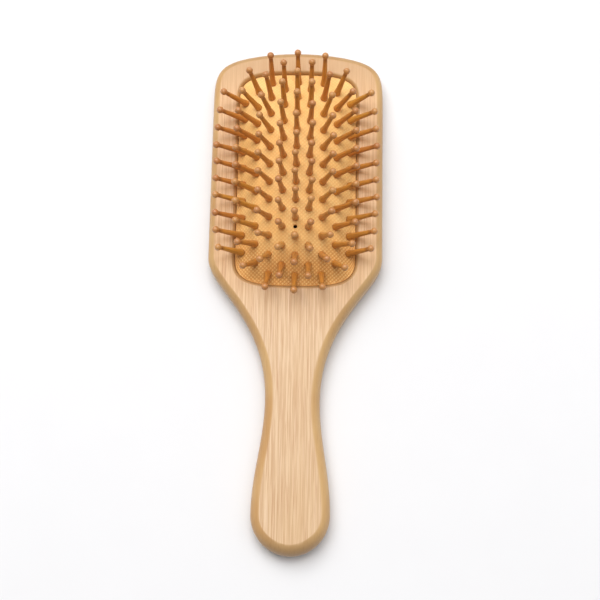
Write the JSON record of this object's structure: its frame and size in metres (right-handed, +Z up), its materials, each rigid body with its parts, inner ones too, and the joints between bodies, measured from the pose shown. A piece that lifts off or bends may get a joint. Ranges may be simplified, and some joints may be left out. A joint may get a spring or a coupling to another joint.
{
  "type": "paddle brush",
  "caption": "Bamboo paddle hair brush: flat board with a waisted handle, domed rubber cushion in a pocket of the head, and ball-tipped wooden pins that fan out and sink when pressed.",
  "frame": {"origin": "middle of the length and of the width, on the flat back that the brush lies on", "axes": "+Z up out of the pin side, +Y along the brush towards the head, +X across it to the right with the head up"},
  "size_m": [0.0844, 0.2484, 0.0375],
  "materials": {
    "bamboo_board": "fine-sanded bamboo with a thin satin lacquer",
    "cushion_rubber": "matt rubber with a fine diagonal fabric-like texture",
    "pin_wood": "turned and waxed bamboo, satin"
  },
  "bodies": {
    "handle": {"body": "bamboo_board", "cushion": "cushion_rubber"},
    "pins_centre_middle_group": {"pins_centre_middle": "pin_wood"},
    "pins_left_4_second_group": {"pins_left_4_second": "pin_wood"},
    "pins_left_4_third_group": {"pins_left_4_third": "pin_wood"},
    "pins_left_4_middle_group": {"pins_left_4_middle": "pin_wood"},
    "pins_left_3_end_group": {"pins_left_3_end": "pin_wood"},
    "pins_left_3_second_group": {"pins_left_3_second": "pin_wood"},
    "pins_left_3_third_group": {"pins_left_3_third": "pin_wood"},
    "pins_left_3_middle_group": {"pins_left_3_middle": "pin_wood"},
    "pins_left_2_end_group": {"pins_left_2_end": "pin_wood"},
    "pins_left_2_second_group": {"pins_left_2_second": "pin_wood"},
    "pins_left_2_third_group": {"pins_left_2_third": "pin_wood"},
    "pins_left_2_middle_group": {"pins_left_2_middle": "pin_wood"},
    "pins_left_1_end_group": {"pins_left_1_end": "pin_wood"},
    "pins_left_1_second_group": {"pins_left_1_second": "pin_wood"},
    "pins_left_1_third_group": {"pins_left_1_third": "pin_wood"},
    "pins_left_1_middle_group": {"pins_left_1_middle": "pin_wood"},
    "pins_centre_end_group": {"pins_centre_end": "pin_wood"},
    "pins_centre_second_group": {"pins_centre_second": "pin_wood"},
    "pins_centre_third_group": {"pins_centre_third": "pin_wood"},
    "pins_right_1_end_group": {"pins_right_1_end": "pin_wood"},
    "pins_right_1_second_group": {"pins_right_1_second": "pin_wood"},
    "pins_right_1_third_group": {"pins_right_1_third": "pin_wood"},
    "pins_right_1_middle_group": {"pins_right_1_middle": "pin_wood"},
    "pins_right_2_end_group": {"pins_right_2_end": "pin_wood"},
    "pins_right_2_second_group": {"pins_right_2_second": "pin_wood"},
    "pins_right_2_third_group": {"pins_right_2_third": "pin_wood"},
    "pins_right_2_middle_group": {"pins_right_2_middle": "pin_wood"},
    "pins_right_3_end_group": {"pins_right_3_end": "pin_wood"},
    "pins_right_3_second_group": {"pins_right_3_second": "pin_wood"},
    "pins_right_3_third_group": {"pins_right_3_third": "pin_wood"},
    "pins_right_3_middle_group": {"pins_right_3_middle": "pin_wood"},
    "pins_right_4_second_group": {"pins_right_4_second": "pin_wood"},
    "pins_right_4_third_group": {"pins_right_4_third": "pin_wood"},
    "pins_right_4_middle_group": {"pins_right_4_middle": "pin_wood"}
  },
  "joints": [
    {"name": "cushion_press", "type": "slide", "parent": "handle", "child": "pins_centre_middle_group", "axis": [0, 0, -1], "range_m": [0, 0.004], "stiffness_N_per_m": 1500, "deforming": ["cushion"]},
    {"name": "press_left_4_second", "type": "slide", "parent": "handle", "child": "pins_left_4_second_group", "axis": [0, 0, -1], "range_m": [0, 0.000493]},
    {"name": "press_left_4_third", "type": "slide", "parent": "handle", "child": "pins_left_4_third_group", "axis": [0, 0, -1], "range_m": [0, 0.000651]},
    {"name": "press_left_4_middle", "type": "slide", "parent": "handle", "child": "pins_left_4_middle_group", "axis": [0, 0, -1], "range_m": [0, 0.000749]},
    {"name": "press_left_3_end", "type": "slide", "parent": "handle", "child": "pins_left_3_end_group", "axis": [0, 0, -1], "range_m": [0, 0.00119]},
    {"name": "press_left_3_second", "type": "slide", "parent": "handle", "child": "pins_left_3_second_group", "axis": [0, 0, -1], "range_m": [0, 0.002]},
    {"name": "press_left_3_third", "type": "slide", "parent": "handle", "child": "pins_left_3_third_group", "axis": [0, 0, -1], "range_m": [0, 0.00244]},
    {"name": "press_left_3_middle", "type": "slide", "parent": "handle", "child": "pins_left_3_middle_group", "axis": [0, 0, -1], "range_m": [0, 0.00266]},
    {"name": "press_left_2_end", "type": "slide", "parent": "handle", "child": "pins_left_2_end_group", "axis": [0, 0, -1], "range_m": [0, 0.000644]},
    {"name": "press_left_2_second", "type": "slide", "parent": "handle", "child": "pins_left_2_second_group", "axis": [0, 0, -1], "range_m": [0, 0.00218]},
    {"name": "press_left_2_third", "type": "slide", "parent": "handle", "child": "pins_left_2_third_group", "axis": [0, 0, -1], "range_m": [0, 0.00306]},
    {"name": "press_left_2_middle", "type": "slide", "parent": "handle", "child": "pins_left_2_middle_group", "axis": [0, 0, -1], "range_m": [0, 0.00361]},
    {"name": "press_left_1_end", "type": "slide", "parent": "handle", "child": "pins_left_1_end_group", "axis": [0, 0, -1], "range_m": [0, 0.00157]},
    {"name": "press_left_1_second", "type": "slide", "parent": "handle", "child": "pins_left_1_second_group", "axis": [0, 0, -1], "range_m": [0, 0.00291]},
    {"name": "press_left_1_third", "type": "slide", "parent": "handle", "child": "pins_left_1_third_group", "axis": [0, 0, -1], "range_m": [0, 0.00363]},
    {"name": "press_left_1_middle", "type": "slide", "parent": "handle", "child": "pins_left_1_middle_group", "axis": [0, 0, -1], "range_m": [0, 0.004]},
    {"name": "press_centre_end", "type": "slide", "parent": "handle", "child": "pins_centre_end_group", "axis": [0, 0, -1], "range_m": [0, 0.000564]},
    {"name": "press_centre_second", "type": "slide", "parent": "handle", "child": "pins_centre_second_group", "axis": [0, 0, -1], "range_m": [0, 0.00235]},
    {"name": "press_centre_third", "type": "slide", "parent": "handle", "child": "pins_centre_third_group", "axis": [0, 0, -1], "range_m": [0, 0.00337]},
    {"name": "press_right_1_end", "type": "slide", "parent": "handle", "child": "pins_right_1_end_group", "axis": [0, 0, -1], "range_m": [0, 0.00157]},
    {"name": "press_right_1_second", "type": "slide", "parent": "handle", "child": "pins_right_1_second_group", "axis": [0, 0, -1], "range_m": [0, 0.00291]},
    {"name": "press_right_1_third", "type": "slide", "parent": "handle", "child": "pins_right_1_third_group", "axis": [0, 0, -1], "range_m": [0, 0.00363]},
    {"name": "press_right_1_middle", "type": "slide", "parent": "handle", "child": "pins_right_1_middle_group", "axis": [0, 0, -1], "range_m": [0, 0.004]},
    {"name": "press_right_2_end", "type": "slide", "parent": "handle", "child": "pins_right_2_end_group", "axis": [0, 0, -1], "range_m": [0, 0.000644]},
    {"name": "press_right_2_second", "type": "slide", "parent": "handle", "child": "pins_right_2_second_group", "axis": [0, 0, -1], "range_m": [0, 0.00218]},
    {"name": "press_right_2_third", "type": "slide", "parent": "handle", "child": "pins_right_2_third_group", "axis": [0, 0, -1], "range_m": [0, 0.00306]},
    {"name": "press_right_2_middle", "type": "slide", "parent": "handle", "child": "pins_right_2_middle_group", "axis": [0, 0, -1], "range_m": [0, 0.00361]},
    {"name": "press_right_3_end", "type": "slide", "parent": "handle", "child": "pins_right_3_end_group", "axis": [0, 0, -1], "range_m": [0, 0.00119]},
    {"name": "press_right_3_second", "type": "slide", "parent": "handle", "child": "pins_right_3_second_group", "axis": [0, 0, -1], "range_m": [0, 0.002]},
    {"name": "press_right_3_third", "type": "slide", "parent": "handle", "child": "pins_right_3_third_group", "axis": [0, 0, -1], "range_m": [0, 0.00244]},
    {"name": "press_right_3_middle", "type": "slide", "parent": "handle", "child": "pins_right_3_middle_group", "axis": [0, 0, -1], "range_m": [0, 0.00266]},
    {"name": "press_right_4_second", "type": "slide", "parent": "handle", "child": "pins_right_4_second_group", "axis": [0, 0, -1], "range_m": [0, 0.000493]},
    {"name": "press_right_4_third", "type": "slide", "parent": "handle", "child": "pins_right_4_third_group", "axis": [0, 0, -1], "range_m": [0, 0.000651]},
    {"name": "press_right_4_middle", "type": "slide", "parent": "handle", "child": "pins_right_4_middle_group", "axis": [0, 0, -1], "range_m": [0, 0.000749]}
  ],
  "couplings": [
    {"joint": "press_left_4_second", "follows": "cushion_press", "ratio": 0.1208},
    {"joint": "press_left_4_third", "follows": "cushion_press", "ratio": 0.1602},
    {"joint": "press_left_4_middle", "follows": "cushion_press", "ratio": 0.1848},
    {"joint": "press_left_3_end", "follows": "cushion_press", "ratio": 0.2946},
    {"joint": "press_left_3_second", "follows": "cushion_press", "ratio": 0.4981},
    {"joint": "press_left_3_third", "follows": "cushion_press", "ratio": 0.6073},
    {"joint": "press_left_3_middle", "follows": "cushion_press", "ratio": 0.6635},
    {"joint": "press_left_2_end", "follows": "cushion_press", "ratio": 0.1586},
    {"joint": "press_left_2_second", "follows": "cushion_press", "ratio": 0.5416},
    {"joint": "press_left_2_third", "follows": "cushion_press", "ratio": 0.7616},
    {"joint": "press_left_2_middle", "follows": "cushion_press", "ratio": 0.8989},
    {"joint": "press_left_1_end", "follows": "cushion_press", "ratio": 0.3909},
    {"joint": "press_left_1_second", "follows": "cushion_press", "ratio": 0.7259},
    {"joint": "press_left_1_third", "follows": "cushion_press", "ratio": 0.9054},
    {"joint": "press_left_1_middle", "follows": "cushion_press", "ratio": 0.9979},
    {"joint": "press_centre_end", "follows": "cushion_press", "ratio": 0.1386},
    {"joint": "press_centre_second", "follows": "cushion_press", "ratio": 0.5842},
    {"joint": "press_centre_third", "follows": "cushion_press", "ratio": 0.8402},
    {"joint": "press_right_1_end", "follows": "cushion_press", "ratio": 0.3909},
    {"joint": "press_right_1_second", "follows": "cushion_press", "ratio": 0.7259},
    {"joint": "press_right_1_third", "follows": "cushion_press", "ratio": 0.9054},
    {"joint": "press_right_1_middle", "follows": "cushion_press", "ratio": 0.9979},
    {"joint": "press_right_2_end", "follows": "cushion_press", "ratio": 0.1586},
    {"joint": "press_right_2_second", "follows": "cushion_press", "ratio": 0.5416},
    {"joint": "press_right_2_third", "follows": "cushion_press", "ratio": 0.7616},
    {"joint": "press_right_2_middle", "follows": "cushion_press", "ratio": 0.8989},
    {"joint": "press_right_3_end", "follows": "cushion_press", "ratio": 0.2946},
    {"joint": "press_right_3_second", "follows": "cushion_press", "ratio": 0.4981},
    {"joint": "press_right_3_third", "follows": "cushion_press", "ratio": 0.6073},
    {"joint": "press_right_3_middle", "follows": "cushion_press", "ratio": 0.6635},
    {"joint": "press_right_4_second", "follows": "cushion_press", "ratio": 0.1208},
    {"joint": "press_right_4_third", "follows": "cushion_press", "ratio": 0.1602},
    {"joint": "press_right_4_middle", "follows": "cushion_press", "ratio": 0.1848}
  ]
}
